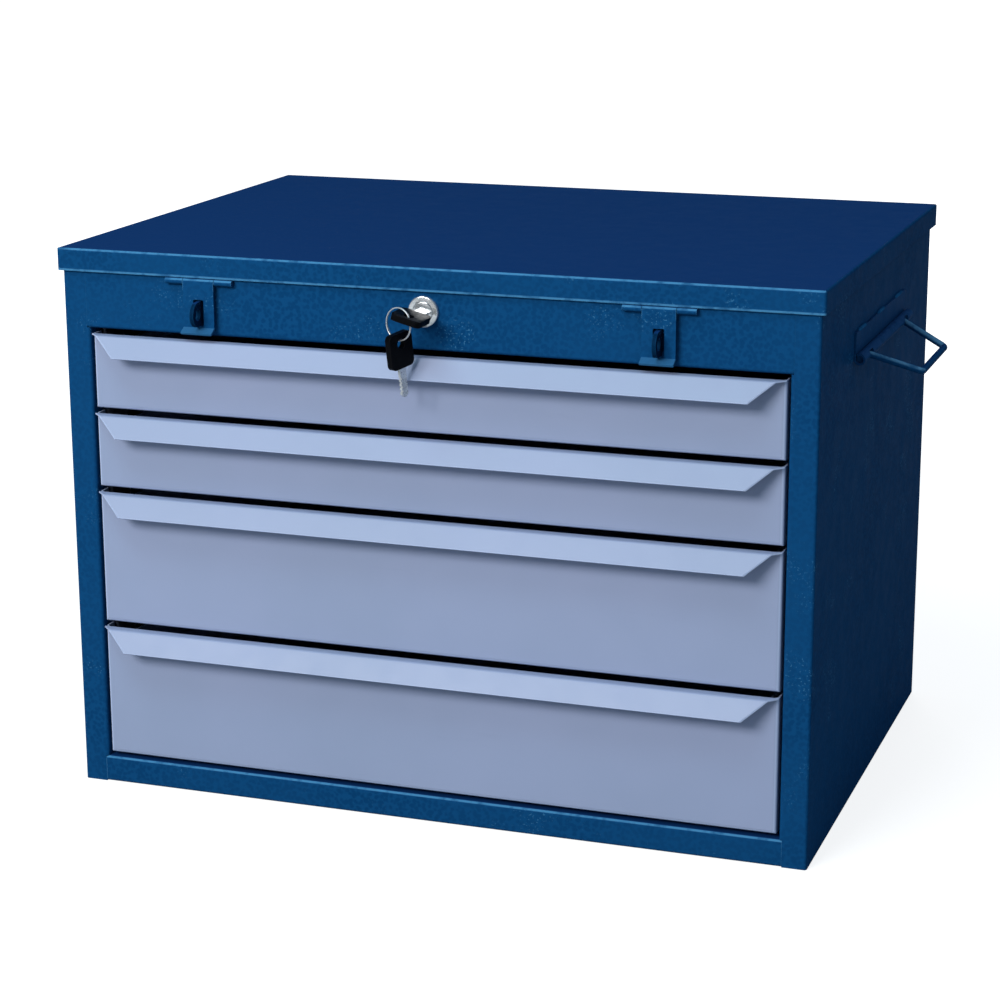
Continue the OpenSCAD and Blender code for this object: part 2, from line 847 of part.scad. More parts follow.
module hasp_pins() {
    color(blue)
        both_sides()
            translate([hasp_x, hasp_y, hasp_z])
                rotate([0, 90, 0])
                    cylinder(r = hasp_pin_r, h = hasp_w, center = true);
}

// Slotted strap with a flared lip, which swings over the staple
module hasp_strap(side) {
    lip_z = slot_low - 0.5;
    color(blue)
        right_or_left(side)
            difference() {
                union() {
                    along_x(strap_w, hasp_x)
                        folded([[strap_y, hasp_z], [strap_y, lip_z],
                            [strap_y - lip_l * cos(lip_slope), lip_z - lip_l * sin(lip_slope)]], strap_t);
                    translate([hasp_x, hasp_y, hasp_z])
                        rotate([0, 90, 0])
                            cylinder(r = knuckle_r, h = strap_w, center = true);
                }
                translate([hasp_x, hasp_y, hasp_z])
                    rotate([0, 90, 0])
                        cylinder(r = hasp_pin_r + running, h = strap_w + cut, center = true);
                translate([0, strap_y + strap_t, 0])
                    rotate([90, 0, 0])
                        linear_extrude(height = 2 * strap_t)
                            soft_rect([hasp_x - slot_w / 2, slot_low], [hasp_x + slot_w / 2, slot_high], 1,
                                [[0, 0], [1, 0], [0, 1], [1, 1]]);
            }
}

// Plate welded to the band, with a hole for a padlock
module staple(side) {
    color(blue)
        right_or_left(side)
            along_x(staple_t, hasp_x)
                difference() {
                    union() {
                        translate([front_y - staple_out, staple_z - staple_h / 2])
                            square([staple_out, staple_h]);
                        translate([front_y - staple_out, staple_z])
                            circle(staple_h / 2);
                    }
                    translate([padlock_out, staple_z])
                        circle(padlock_r);
                    translate([front_y, staple_z - staple_h])
                        square([staple_h, 2 * staple_h]);
                }
}

// ---------- lock and keys ----------

// Circle with two flats, above and below
module double_d(r, flat) {
    intersection() {
        circle(r);
        square([2 * r + cut, flat], center = true);
    }
}

module hexagon(r) {
    polygon([for (a = [0:60:300]) [r * cos(a), r * sin(a)]]);
}

// Barrel of the cam lock, with its round face
module lock_housing() {
    color(chrome)
        translate([0, front_y, lock_z])
            difference() {
                union() {
                    rotate([90, 0, 0])
                        rotate_extrude()
                            soft_rect([0, 0], [lock_face_r, lock_bezel], 0.8, [[1, 1]]);
                    rotate([-90, 0, 0])
                        linear_extrude(height = lock_barrel_l)
                            double_d(lock_barrel_r, lock_flat);
                }
                translate([0, lock_barrel_l + cut, 0])
                    rotate([90, 0, 0])
                        cylinder(r = plug_r + running, h = lock_barrel_l + lock_bezel + 2 * cut);
                translate([0, plug_recess - lock_bezel, 0])
                    rotate([90, 0, 0])
                        cylinder(r = plug_head_r + free_gap, h = plug_recess + cut);
            }
}

// Hexagonal nut that clamps the lock to the band
module lock_nut() {
    color(zinc)
        translate([0, front_y + sheet, lock_z])
            rotate([-90, 0, 0])
                linear_extrude(height = nut_h)
                    difference() {
                        hexagon(nut_r);
                        circle(lock_barrel_r + running);
                    }
}

// Plug with the keyway, and with the square that carries the cam
module lock_plug() {
    color(chrome)
        translate([0, front_y, lock_z])
            difference() {
                union() {
                    translate([0, plug_head - plug_front, 0])
                        rotate([90, 0, 0])
                            rotate_extrude()
                                soft_rect([0, 0], [plug_head_r, plug_head], 0.5, [[1, 1]]);
                    translate([0, cam_front, 0])
                        rotate([90, 0, 0])
                            cylinder(r = plug_r, h = cam_front + plug_front - plug_head / 2);
                    translate([-cam_boss / 2, cam_front - cut, -cam_boss / 2])
                        cube([cam_boss, cam_t + cut - 0.1, cam_boss]);
                }
                rotate([0, key_tilt, 0])
                    translate([-keyway_w / 2, -plug_front - cut, -keyway_t / 2])
                        cube([keyway_w, blade_in + 0.7 + cut, keyway_t]);
                translate([0, cam_front + cam_t + cut, 0])
                    rotate([90, 0, 0])
                        cylinder(r = cam_screw_r + running, h = cam_screw_l + 0.5 + cam_t + cut);
            }
}

// Cam, pointing up while the lock is open
module lock_cam() {
    color(zinc)
        along_y(front_y + cam_front, front_y + cam_front + cam_t)
            translate([0, lock_z])
                difference() {
                    union() {
                        circle(cam_w / 2);
                        translate([-cam_w / 2, 0])
                            square([cam_w, cam_reach - cam_w / 2]);
                        translate([0, cam_reach - cam_w / 2])
                            circle(cam_w / 2);
                    }
                    square(cam_boss + 0.2, center = true);
                }
}

// Slotted screw that holds the cam on the plug
module cam_screw() {
    color(zinc)
        translate([0, front_y + cam_front + cam_t, lock_z])
            difference() {
                union() {
                    rotate([90, 0, 0])
                        cylinder(r = cam_screw_r, h = cam_t + cam_screw_l);
                    rotate([-90, 0, 0])
                        rotate_extrude()
                            soft_rect([0, 0], [cam_head_r, cam_head_h], 1, [[1, 1]]);
                }
                translate([-0.6, cam_head_h - 1, -cam_head_r])
                    cube([1.2, 2, 2 * cam_head_r]);
            }
}

// Key blade along +Y, as measured from the hole in the key's head, with cuts along one edge
module blade(w, t, start, end) {
    tip = w * 0.3;
    depth = w * 0.16;
    pitch = 3;
    first = end - 4 * pitch - tip - 1;
    translate([0, 0, -t / 2])
        linear_extrude(height = t)
            difference() {
                polygon([[-w / 2, start], [w / 2, start], [w / 2, end - tip], [w / 2 - tip, end],
                    [-w / 2 + tip, end], [-w / 2, end - tip]]);
                for (k = [0:3])
                    translate([w / 2, first + k * pitch])
                        polygon([[cut, 0], [-depth, 1], [-depth, 1.6], [cut, 2.6]]);
            }
}

// Moulded key head round the end of its blade, with the hole at the origin
module head(w, t) {
    translate([0, 0, t / 2])
        linear_extrude(height = key_t / 2 - t / 2)
            head_outline();
    translate([0, 0, -key_t / 2])
        linear_extrude(height = key_t / 2 - t / 2)
            head_outline();
    translate([0, 0, -t / 2])
        linear_extrude(height = t)
            difference() {
                head_outline();
                translate([-w / 2, key_l - key_hole_in - tang])
                    square([w, tang + cut]);
            }
}

module head_outline() {
    difference() {
        soft_rect([-key_w / 2, -key_hole_in], [key_w / 2, key_l - key_hole_in], key_corner,
            [[0, 0], [1, 0], [0, 1], [1, 1]]);
        circle(key_hole_r);
    }
}

// Puts a key in the lock
module at_key() {
    translate([0, key_hole_y, lock_z])
        rotate([0, key_tilt, 0])
            children();
}

// Hangs a key on the ring
module at_spare() {
    translate([ring_x, ring_y, spare_hole_z])
        rotate([-90, 0, -ring_turn])
            rotate(spare_tilt)
                children();
}

module key_ring() {
    color(zinc)
        translate([ring_x, ring_y, ring_z])
            rotate([90, 0, 90 - ring_turn])
                rotate_extrude()
                    translate([ring_r, 0])
                        circle(ring_wire_r);
}

// ---------- handles ----------

// Plate rolled round the ends of a bail at its lower edge, with notches for the arms
module handle_plate(side) {
    color(blue)
        right_or_left(side)
            difference() {
                along_y(-handle_l / 2, handle_l / 2)
                    difference() {
                        union() {
                            translate([handle_x, handle_z])
                                circle(handle_barrel_r);
                            translate([side_x, handle_z])
                                square([handle_sheet, handle_plate_h]);
                        }
                        translate([handle_x, handle_z])
                            circle(handle_bore_r);
                        translate([side_x + handle_sheet, handle_z + handle_bore_r / 2])
                            square([roll_gap, handle_barrel_r]);
                    }
                for (y = [bail_root / 2 - notch_in, -bail_root / 2 - notch_out])
                    translate([side_x + handle_sheet, y, handle_z - handle_barrel_r - cut])
                        cube([2 * handle_barrel_r, notch_in + notch_out, handle_barrel_r + cut + notch_top]);
            }
}

// Stretch i of a round rod in the XY plane, then the bend at its end and the rest of the rod
module rod(path, i = 0) {
    length = stretch(path, i, bend_r);
    lap_in = i == 0 ? 0 : 0.1;
    lap_out = i == len(path) - 2 ? 0 : 0.1;
    translate([-lap_in, 0, 0])
        rotate([0, 90, 0])
            cylinder(r = rod_r, h = length + lap_in + lap_out);
    if (i < len(path) - 2) {
        angle = bend_angle(path, i + 1);
        side = sign(angle) * bend_r;
        translate([length, side, 0]) {
            rotate(angle > 0 ? -90 : 90 + angle)
                rotate_extrude(angle = abs(angle))
                    translate([bend_r, 0])
                        circle(rod_r + 0.01);
            rotate(angle)
                translate([0, -side, 0])
                    rod(path, i + 1);
        }
    }
}

// Wire bail with its ends turned outward into the rolled plate
module bail(side) {
    color(blue)
        right_or_left(side)
            translate([handle_x, 0, handle_z])
                rotate([0, bail_droop, 0])
                    translate([0, stub_end, 0])
                        rotate(-90)
                            rod([[0, stub_end], [0, bail_root / 2], [bail_reach, bail_grip / 2],
                                [bail_reach, -bail_grip / 2], [0, -bail_root / 2], [0, -stub_end]]);
}

// ---------- the named pieces ----------

side_panel(-1);  // left_side_panel
side_panel(1);  // right_side_panel
back_panel();
base_panel();
front_band();
compartment_floor();
posts(front_post_y);  // front_posts
posts(rear_post_y);  // rear_posts
rails(0);  // rails_1
rails(1);  // rails_2
rails(2);  // rails_3
rails(3);  // rails_4
rail_screws();
rail_glides();
handle_plate(-1);  // left_handle_plate
handle_plate(1);  // right_handle_plate
bail(-1);  // left_bail
bail(1);  // right_bail
staple(-1);  // left_staple
staple(1);  // right_staple
lock_housing();
lock_nut();
hinge_leaf(-1);  // left_hinge_leaf
hinge_leaf(1);  // right_hinge_leaf
hinge_pins();
hinge_rivets();
lid_shell();
lid_leaf(-1);  // left_lid_leaf
lid_leaf(1);  // right_lid_leaf
hasp_leaf(-1);  // left_hasp_leaf
hasp_leaf(1);  // right_hasp_leaf
hasp_pins();
lid_keeper();
hasp_strap(-1);  // left_hasp_strap
hasp_strap(1);  // right_hasp_strap
drawer_front(0);  // drawer_1_front
drawer_front(1);  // drawer_2_front
drawer_front(2);  // drawer_3_front
drawer_front(3);  // drawer_4_front
drawer_box(0);  // drawer_1_box
drawer_box(1);  // drawer_2_box
drawer_box(2);  // drawer_3_box
drawer_box(3);  // drawer_4_box
runners(0);  // drawer_1_runners
runners(1);  // drawer_2_runners
runners(2);  // drawer_3_runners
runners(3);  // drawer_4_runners
shoes(0);  // drawer_1_glides
shoes(1);  // drawer_2_glides
shoes(2);  // drawer_3_glides
shoes(3);  // drawer_4_glides
lock_plug();
lock_cam();
cam_screw();
color(zinc) at_key() blade(blade_w, blade_t, key_start, key_end);  // key_blade
color(black) at_key() head(blade_w, blade_t);  // key_head
key_ring();
color(zinc) at_spare() blade(6, 2, key_start, spare_end);  // spare_key_blade
color(black) at_spare() head(6, 2);  // spare_key_head
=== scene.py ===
"""Looks of a portable steel tool box: hammertone blue cabinet, blue-grey drawers, lock and keys."""
import json
import math
import random

import bmesh
import bpy
from mathutils import Matrix, Vector


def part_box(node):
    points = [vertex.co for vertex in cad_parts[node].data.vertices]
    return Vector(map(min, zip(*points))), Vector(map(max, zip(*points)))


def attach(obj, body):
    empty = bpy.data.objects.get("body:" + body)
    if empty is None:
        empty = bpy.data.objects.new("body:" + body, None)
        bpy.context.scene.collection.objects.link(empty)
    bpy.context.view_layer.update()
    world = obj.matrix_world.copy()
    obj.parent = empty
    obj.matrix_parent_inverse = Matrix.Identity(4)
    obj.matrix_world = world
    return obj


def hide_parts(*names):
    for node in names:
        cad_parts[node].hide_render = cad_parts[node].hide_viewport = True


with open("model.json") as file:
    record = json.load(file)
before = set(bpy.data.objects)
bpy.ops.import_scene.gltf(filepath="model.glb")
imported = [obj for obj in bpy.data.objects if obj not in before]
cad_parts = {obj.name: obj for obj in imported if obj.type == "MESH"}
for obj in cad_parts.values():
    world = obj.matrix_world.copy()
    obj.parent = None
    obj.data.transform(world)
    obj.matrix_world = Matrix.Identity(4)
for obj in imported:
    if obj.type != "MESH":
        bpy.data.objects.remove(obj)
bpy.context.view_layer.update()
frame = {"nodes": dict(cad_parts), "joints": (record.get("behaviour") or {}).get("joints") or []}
nodes = frame["nodes"]
MM = 0.001

# ---------------------------------------------------------------- camera

CAMERA_AT = Vector((629.2, -1840.1, 708.3)) * MM
CAMERA_YAW = math.radians(19.152)
CAMERA_PITCH = math.radians(14.791)
CAMERA_ROLL = math.radians(-0.154)
FOCAL_PIXELS = 2574.2
PRINCIPAL_POINT = (505.7, 497.4)
IMAGE_SIZE = 1000
SENSOR = 36.0
NEAREST = 0.05


def make_camera():
    data = bpy.data.cameras.new("camera")
    data.sensor_width = SENSOR
    data.lens = SENSOR * FOCAL_PIXELS / IMAGE_SIZE
    data.shift_x = (IMAGE_SIZE / 2 - PRINCIPAL_POINT[0]) / IMAGE_SIZE
    data.shift_y = (PRINCIPAL_POINT[1] - IMAGE_SIZE / 2) / IMAGE_SIZE
    data.clip_start = NEAREST
    camera = bpy.data.objects.new("camera", data)
    turn = Matrix.Rotation(CAMERA_YAW, 4, "Z")
    tilt = Matrix.Rotation(math.pi / 2 - CAMERA_PITCH, 4, "X")
    roll = Matrix.Rotation(CAMERA_ROLL, 4, "Z")
    camera.matrix_world = Matrix.Translation(CAMERA_AT) @ turn @ tilt @ roll
    bpy.context.scene.collection.objects.link(camera)
    bpy.context.scene.camera = camera


# ---------------------------------------------------------------- materials

# Enamel, from its deep clouds to its pale flecks, with a painted shade on faces that look up, pale metal on
# scuffed edges, painted highlights on folds, knuckles and bail arms, painted light on the handle barrels, a
# pale tone on weld beads and a painted shade for the staples
BLUE_DEEP = (0.0032, 0.046, 0.136)
BLUE_CLOUD = (0.0048, 0.056, 0.158)
BLUE_CELL = (0.0048, 0.061, 0.171)
# Painted shade laid on faces that look up
BLUE_TOP_PAINTED_SHADE = (0.0058, 0.035, 0.128)
BLUE_FLECK = (0.040, 0.165, 0.310)
# Painted highlights on front folds, rims and knuckles, broken into strokes like wear
RIM_HIGHLIGHT_AND_WEAR = (0.055, 0.205, 0.380)
WORN_SCUFF = (0.012, 0.095, 0.230)
# Painted light on the upper side of the handle barrels
BARREL_PAINTED_LIGHT = (0.020, 0.080, 0.215)
# Painted highlight on the upper front of the bail arms
ARM_PAINTED_HIGHLIGHT = (0.110, 0.270, 0.440)
# Pale tone of the weld beads, broken into strokes
BEAD_PALE = (0.018, 0.130, 0.300)
# Painted shade: the staple's clouds are darkened to the dark of the slot it stands in
STAPLE_SHADE = 0.35

# Powder coat of the drawers, and the painted highlight on its folds
GREY_DEEP = (0.292, 0.340, 0.484)
GREY_CLOUD = (0.312, 0.356, 0.512)
GREY_SCUFF = (0.24, 0.29, 0.41)
# Painted highlight on the drawers' rounded folds and edges
GREY_FOLD_HIGHLIGHT = (0.47, 0.54, 0.74)

# Width of a pale edge, and the cosines between which it goes from full to none; on scuffed edges the paleness
# is wear, on front folds and drawer folds it is a painted highlight
EDGE_WIDTH = 1.2 * MM
EDGE_PALE_FULL, EDGE_PALE_NONE = 0.78, 0.985

# Direction along Y from which the painted highlight on front-facing folds and hems starts, and at which it is
# full
FRONT_STARTS, FRONT_FULL = -0.10, -0.50

# Where painted highlights start and are full: above the skirt's hem, above a strap's foot (painted light on
# the lip), below a strap's top (the knuckle)
HEM_STARTS, HEM_FULL = 1.9 * MM, 1.1 * MM
LIP_STARTS, LIP_FULL = 4.8 * MM, 4.3 * MM
KNUCKLE_STARTS, KNUCKLE_FULL = 9 * MM, 7 * MM


class Look:
    """A principled material built up from a few procedural layers in the piece's own coordinates."""

    def __init__(self, name, roughness, metallic=0.0):
        self.material = bpy.data.materials.new(name)
        self.material.use_nodes = True
        self.tree = self.material.node_tree
        self.shader = self.tree.nodes["Principled BSDF"]
        self.shader.inputs["Roughness"].default_value = roughness
        self.shader.inputs["Metallic"].default_value = metallic
        coordinates = self.add("ShaderNodeTexCoord")
        self.place = coordinates.outputs["Object"]
        self.facing = coordinates.outputs["Normal"]

    def add(self, kind, **settings):
        node = self.tree.nodes.new(kind)
        for key, value in settings.items():
            setattr(node, key, value)
        return node

    def link(self, source, target):
        self.tree.links.new(source, target)

    def stretched(self, scale):
        mapping = self.add("ShaderNodeMapping")
        mapping.inputs["Scale"].default_value = scale
        self.link(self.place, mapping.inputs["Vector"])
        return mapping.outputs["Vector"]

    def noise(self, scale, detail=3.0, roughness=0.55, vector=None):
        node = self.add("ShaderNodeTexNoise")
        node.inputs["Scale"].default_value = scale
        node.inputs["Detail"].default_value = detail
        node.inputs["Roughness"].default_value = roughness
        self.link(vector or self.place, node.inputs["Vector"])
        return node.outputs["Fac"]

    def cells(self, scale, wander, wander_scale):
        """Rounded cells whose borders wander, as in hammered paint."""
        noise = self.add("ShaderNodeTexNoise")
        noise.inputs["Scale"].default_value = wander_scale
        self.link(self.place, noise.inputs["Vector"])
        shift = self.add("ShaderNodeVectorMath", operation="MULTIPLY_ADD")
        shift.inputs[1].default_value = (wander, wander, wander)
        self.link(noise.outputs["Color"], shift.inputs[0])
        self.link(self.place, shift.inputs[2])
        cell = self.add("ShaderNodeTexVoronoi", feature="SMOOTH_F1")
        cell.inputs["Scale"].default_value = scale
        cell.inputs["Smoothness"].default_value = 0.6
        self.link(shift.outputs["Vector"], cell.inputs["Vector"])
        return cell.outputs["Distance"]

    def span(self, value, low, high, to_low=0.0, to_high=1.0):
        node = self.add("ShaderNodeMapRange")
        node.interpolation_type = "SMOOTHSTEP"
        for key, number in zip((1, 2, 3, 4), (low, high, to_low, to_high)):
            node.inputs[key].default_value = number
        self.link(value, node.inputs["Value"])
        return node.outputs["Result"]

    def times(self, a, b):
        node = self.add("ShaderNodeMath", operation="MULTIPLY")
        self.link(a, node.inputs[0])
        self.link(b, node.inputs[1])
        return node.outputs["Value"]

    def mix(self, share, under, over):
        """Colour `over` laid on `under` by a share that varies over the surface."""
        node = self.add("ShaderNodeMix", data_type="RGBA")
        self.link(share, node.inputs["Factor"])
        for key, colour in (("A", under), ("B", over)):
            socket = [s for s in node.inputs if s.name == key and s.type == "RGBA"][0]
            if isinstance(colour, tuple):
                socket.default_value = (*colour, 1.0)
            else:
                self.link(colour, socket)
        return [s for s in node.outputs if s.type == "RGBA"][0]

    def edges(self, radius, low, high):
        """1 along sharp edges and 0 on the flats."""
        bevel = self.add("ShaderNodeBevel", samples=6)
        bevel.inputs["Radius"].default_value = radius
        geometry = self.add("ShaderNodeNewGeometry")
        dot = self.add("ShaderNodeVectorMath", operation="DOT_PRODUCT")
        self.link(bevel.outputs["Normal"], dot.inputs[0])
        self.link(geometry.outputs["Normal"], dot.inputs[1])
        return self.span(dot.outputs["Value"], high, low)

    def roundings(self, low, high):
        """1 where a surface faces between the piece's axes, as on a rounded fold, and 0 on the flats."""
        square = self.add("ShaderNodeVectorMath", operation="MULTIPLY")
        self.link(self.facing, square.inputs[0])
        self.link(self.facing, square.inputs[1])
        dot = self.add("ShaderNodeVectorMath", operation="DOT_PRODUCT")
        self.link(square.outputs["Vector"], dot.inputs[0])
        self.link(square.outputs["Vector"], dot.inputs[1])
        return self.span(dot.outputs["Value"], high, low)

    def toward(self, axis, low, high):
        """0 to 1 as the surface's direction along an axis goes from low to high."""
        split = self.add("ShaderNodeSeparateXYZ")
        self.link(self.facing, split.inputs["Vector"])
        return self.span(split.outputs[axis], low, high)

    def above(self, low, high):
        """0 to 1 as the height goes from low to high."""
        split = self.add("ShaderNodeSeparateXYZ")
        self.link(self.place, split.inputs["Vector"])
        return self.span(split.outputs["Z"], low, high)

    def most(self, a, b):
        node = self.add("ShaderNodeMath", operation="MAXIMUM")
        self.link(a, node.inputs[0])
        self.link(b, node.inputs[1])
        return node.outputs["Value"]

    def colour(self, socket):
        self.link(socket, self.shader.inputs["Base Color"])

    def gloss(self, value, low, high, rough_low, rough_high):
        roughness = self.span(value, low, high, rough_low, rough_high)
        self.link(roughness, self.shader.inputs["Roughness"])

    def relief(self, *layers, bevel=0.0005):
        """Bump layers (height socket, depth in metres) over softened edges."""
        node = self.add("ShaderNodeBevel", samples=6)
        node.inputs["Radius"].default_value = bevel
        normal = node.outputs["Normal"]
        for height, depth in layers:
            bump = self.add("ShaderNodeBump")
            bump.inputs["Distance"].default_value = depth
            bump.inputs["Strength"].default_value = 1.0
            self.link(height, bump.inputs["Height"])
            self.link(normal, bump.inputs["Normal"])
            normal = bump.outputs["Normal"]
        self.link(normal, self.shader.inputs["Normal"])


def broken(look):
    """Share that breaks pale lines of wear and of painted highlight up into strokes."""
    return look.span(look.noise(120.0, 3.0), 0.30, 0.55, 0.35, 1.0)


def scuffed_edges(look):
    """Sharp edges, scuffed pale in patches."""
    edges = look.edges(EDGE_WIDTH, EDGE_PALE_FULL, EDGE_PALE_NONE)
    return look.times(edges, look.span(look.noise(30.0), 0.35, 0.65, 0.1, 0.5))


def front_folds(look):
    """Painted highlight on the rounded folds and sharp edges that are seen from the front, broken into
    strokes like wear.
    """
    fold = look.times(look.roundings(0.62, 0.90), look.toward("Z", 0.10, 0.35))
    wear_and_painted_light = look.times(look.most(look.edges(EDGE_WIDTH, EDGE_PALE_FULL, EDGE_PALE_NONE), fold), broken(look))
    return look.times(wear_and_painted_light, look.toward("Y", FRONT_STARTS, FRONT_FULL))


def lid_rims(look):
    """Painted highlights on the front folds and along the hem of the skirt, broken into strokes like wear."""
    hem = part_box("lid_shell")[0].z
    folds = front_folds(look)
    near_hem = look.above(hem + HEM_STARTS, hem + HEM_FULL)
    front = look.times(look.toward("Y", FRONT_STARTS, FRONT_FULL), broken(look))
    return look.most(folds, look.times(near_hem, front))


def knuckle_and_lip(look):
    """Painted highlight on the rolled knuckle at the top of a hasp strap and, fainter, painted light on the
    lip at its foot.
    """
    low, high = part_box("left_hasp_strap")
    lip = look.span(look.above(low.z + LIP_STARTS, low.z + LIP_FULL), 0.0, 1.0, 0.0, 0.4)
    folds = front_folds(look)
    knuckle = look.above(high.z - KNUCKLE_STARTS, high.z - KNUCKLE_FULL)
    return look.most(look.times(folds, knuckle), lip)


def barrel(look):
    """Painted light on the upper side of the rolled barrel and the top edge of a handle plate, broken into
    strokes.
    """
    return look.times(look.toward("Z", -0.25, 0.35), broken(look))


def arm_tops(look):
    """Painted highlight on the upper front of the bail's two arms, broken into strokes."""
    upper_front = look.times(look.toward("Z", -0.10, 0.60), look.toward("Y", 0.0, -0.35))
    return look.times(upper_front, broken(look))


def blue_paint(name, wear_and_painted_light, pale, shade=1.0):
    """Hammertone enamel: faint cells, cloudy depth, pale flecks in patches, a painted shade on faces that
    look up, and the pale colour where the given mask says: wear on scuffed edges, painted highlights and
    painted light elsewhere; a shade below one darkens the clouds as painted shade.
    """
    look = Look(name, 0.48)
    look.shader.inputs["Specular IOR Level"].default_value = 0.005
    cells = look.cells(330.0, 0.0022, 240.0)
    clouds = look.span(look.noise(7.0, 3.0), 0.32, 0.68)
    deep = look.mix(clouds, shaded(BLUE_DEEP, shade), shaded(BLUE_CLOUD, shade))
    thin = look.mix(look.span(cells, 0.34, 0.66), deep, shaded(BLUE_CELL, shade))
    patches = look.span(look.noise(26.0, 2.0), 0.56, 0.70)
    flecks = look.span(look.noise(620.0, 2.0), 0.58, 0.68)
    flecked = look.mix(look.times(flecks, patches), thin, BLUE_FLECK)
    # Painted shade: faces that look up get a darker blue than the rest
    upper = look.mix(look.toward("Z", 0.86, 0.99), flecked, BLUE_TOP_PAINTED_SHADE)
    # The pale colour where the mask says: wear, painted highlight or painted light, as each piece has it
    look.colour(look.mix(wear_and_painted_light(look), upper, pale))
    look.gloss(look.noise(60.0), 0.3, 0.7, 0.44, 0.52)
    look.relief((cells, 0.00006), (look.noise(1100.0, 2.0), 0.00001))
    return look.material


def shaded(colour, share):
    return tuple(share * part for part in colour)


def grey_paint():
    """Light blue-grey powder coat with a fine orange peel, slightly scuffed, with a painted highlight along
    its folded edges.
    """
    look = Look("grey_paint", 0.42)
    clouds = look.noise(5.0, 3.0)
    base = look.mix(look.span(clouds, 0.3, 0.7), GREY_DEEP, GREY_CLOUD)
    strokes = look.noise(26.0, 8.0, 0.7, look.stretched((0.5, 1.0, 5.0)))
    scuffs = look.span(strokes, 0.60, 0.80, 0.0, 0.25)
    marked = look.mix(scuffs, base, GREY_SCUFF)
    # Painted highlight: the side and bottom folds and the sharp edges are paler
    rounded = look.times(look.roundings(0.62, 0.93), look.toward("Z", 0.30, 0.10))
    folds = look.most(rounded, look.edges(EDGE_WIDTH, 0.80, EDGE_PALE_NONE))
    look.colour(look.mix(folds, marked, GREY_FOLD_HIGHLIGHT))
    look.gloss(look.noise(40.0), 0.3, 0.7, 0.38, 0.50)
    look.relief((look.noise(900.0, 2.0), 0.00003))
    return look.material


def zinc():
    """Zinc-plated sheet with faint spangle and drawing lines."""
    look = Look("zinc", 0.36, metallic=1.0)
    spangle = look.noise(70.0, 2.0)
    tint = look.mix(look.span(spangle, 0.3, 0.7), (0.52, 0.53, 0.55), (0.66, 0.66, 0.66))
    look.colour(look.mix(look.edges(0.0006, 0.80, 0.98), tint, (0.74, 0.74, 0.73)))
    look.gloss(look.noise(35.0, 4.0, 0.6, look.stretched((1.0, 0.08, 6.0))), 0.3, 0.7, 0.28, 0.46)
    look.relief((look.noise(700.0, 3.0), 0.00002))
    return look.material


def chrome():
    """Bright plating with fine handling scratches."""
    look = Look("chrome", 0.14, metallic=0.75)
    clouds = look.span(look.noise(240.0), 0.3, 0.7)
    look.colour(look.mix(clouds, (0.80, 0.81, 0.82), (0.92, 0.92, 0.92)))
    look.gloss(look.noise(900.0, 6.0, 0.7), 0.35, 0.70, 0.08, 0.22)
    look.relief((look.noise(1600.0, 2.0), 0.000008), bevel=0.0004)
    return look.material


def key_steel():
    """Satin nickel-plated key and ring wire, rubbed along the edges."""
    look = Look("key_steel", 0.30, metallic=0.6)
    clouds = look.span(look.noise(420.0), 0.35, 0.65)
    rubbed = look.mix(clouds, (0.62, 0.62, 0.62), (0.76, 0.76, 0.75))
    look.colour(look.mix(look.edges(0.0004, 0.80, 0.98), rubbed, (0.90, 0.90, 0.88)))
    look.gloss(look.noise(800.0, 5.0, 0.7), 0.3, 0.7, 0.24, 0.38)
    look.relief((look.noise(2200.0, 2.0), 0.00001), bevel=0.0003)
    return look.material


def key_plastic():
    """Moulded black plastic with a fine grain, polished at the corners."""
    look = Look("key_plastic", 0.42)
    look.shader.inputs["Specular IOR Level"].default_value = 0.06
    clouds = look.span(look.noise(150.0), 0.3, 0.7)
    tint = look.mix(clouds, (0.0012, 0.0012, 0.0018), (0.0024, 0.0024, 0.0034))
    look.colour(look.mix(look.edges(0.0008, 0.80, 0.98), tint, (0.009, 0.009, 0.012)))
    look.gloss(look.noise(320.0), 0.3, 0.7, 0.34, 0.50)
    look.relief((look.noise(2600.0, 2.0), 0.00003), bevel=0.0006)
    return look.material


def nylon():
    """Natural nylon, slightly greasy where the runners slide."""
    look = Look("nylon", 0.4)
    clouds = look.span(look.noise(120.0), 0.3, 0.7)
    look.colour(look.mix(clouds, (0.70, 0.69, 0.62), (0.82, 0.81, 0.76)))
    look.gloss(look.noise(160.0), 0.3, 0.7, 0.28, 0.5)
    look.relief((look.noise(1200.0, 2.0), 0.00002))
    return look.material


def dress(node, material):
    nodes[node].data.materials.clear()
    nodes[node].data.materials.append(material)
    for polygon in nodes[node].data.polygons:
        polygon.material_index = 0


GREY = ("front", "box")
ZINC = ("posts", "rails_", "runners", "rail_screws", "hinge_pins", "hinge_rivets", "lock_nut", "lock_cam",
        "cam_screw", "lid_keeper")
KEY_METAL = ("key_blade", "key_ring")


